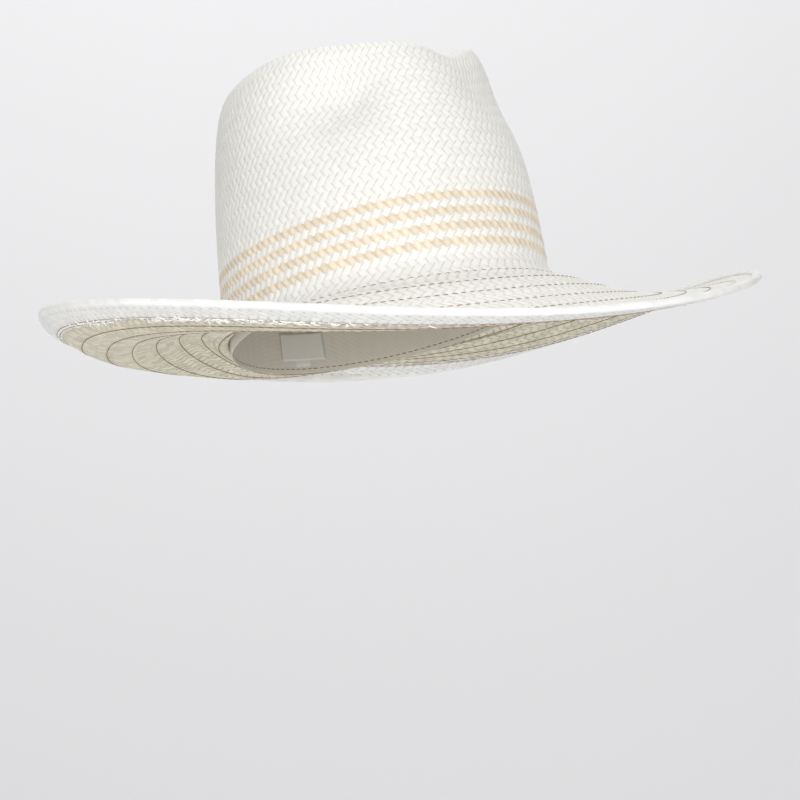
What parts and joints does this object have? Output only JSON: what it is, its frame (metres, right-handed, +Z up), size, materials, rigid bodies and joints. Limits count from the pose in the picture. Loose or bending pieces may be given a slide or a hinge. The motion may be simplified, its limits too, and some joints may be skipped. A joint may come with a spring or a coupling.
{
  "type": "panama hat",
  "caption": "Woven straw panama hat with a pinched crown, tan rows at its foot, a wide stitched two-ply brim snapped down in front, wired rim and cloth sweatband",
  "frame": {"origin": "centre of the head opening, in the plane where the crown meets the brim", "axes": "+Z up the crown out of the head, -Y towards the front of the hat where the brim is snapped down, +X to the wearer's left"},
  "size_m": [0.4008, 0.4053, 0.2025],
  "materials": {
    "straw_white": "woven bleached paper straw, matt to satin",
    "straw_tan": "woven natural tan straw, satin",
    "thread": "brown sewing thread, matt",
    "band_cloth": "ribbed cream cotton ribbon, matt",
    "trim_cloth": "fine white woven tape, matt",
    "wire": "thin spring wire"
  },
  "bodies": {
    "root": {"crown_shell": "straw_white", "brim_upper": "straw_white", "brim_facing": "straw_white", "brim_hem": "straw_white", "brim_wire": "wire", "sweatband": "band_cloth", "sweatband_stitch": "thread", "sweatband_seam_tape": "trim_cloth", "size_label": "trim_cloth", "tan_straw_row_1": "straw_tan", "tan_straw_row_2": "straw_tan", "tan_straw_row_3": "straw_tan", "tan_straw_row_4": "straw_tan", "brim_stitch_row_1": "thread", "brim_stitch_row_2": "thread", "brim_stitch_row_3": "thread", "brim_stitch_row_4": "thread", "brim_stitch_row_5": "thread", "brim_stitch_row_6": "thread", "brim_stitch_row_7": "thread", "hem_stitch_outer": "thread", "hem_stitch_inner": "thread"}
  },
  "joints": []
}
